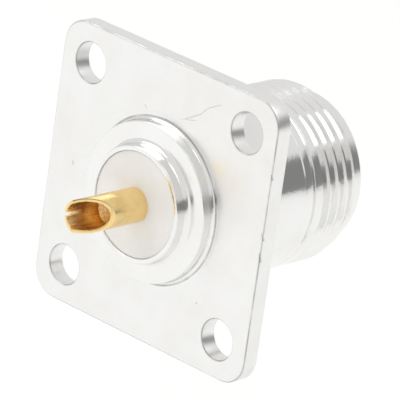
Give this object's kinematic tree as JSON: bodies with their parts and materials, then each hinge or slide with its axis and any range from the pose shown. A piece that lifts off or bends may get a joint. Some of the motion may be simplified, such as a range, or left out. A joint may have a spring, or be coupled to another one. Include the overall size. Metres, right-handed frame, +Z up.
{
  "type": "coaxial panel connector",
  "caption": "N type female coaxial panel receptacle: square screw-fixed flange, threaded coupling barrel, PTFE insulator and gold-plated solder cup.",
  "frame": {"origin": "middle of the flange's panel face, the face that the stepped boss stands on", "axes": "+Y along the coupling barrel, out of the coupling end; +Z up, square with the flange's sides; the solder cup points along -Y and its scoop faces +X"},
  "size_m": [0.025, 0.0273, 0.025],
  "materials": {
    "shell": "bright silver-coloured plating over brass, lightly scratched",
    "insulator": "turned white PTFE",
    "contact": "gold plating over brass"
  },
  "bodies": {
    "root": {"shell": "shell", "rear_insulator": "insulator", "front_insulator": "insulator", "centre_contact": "contact"}
  },
  "joints": []
}
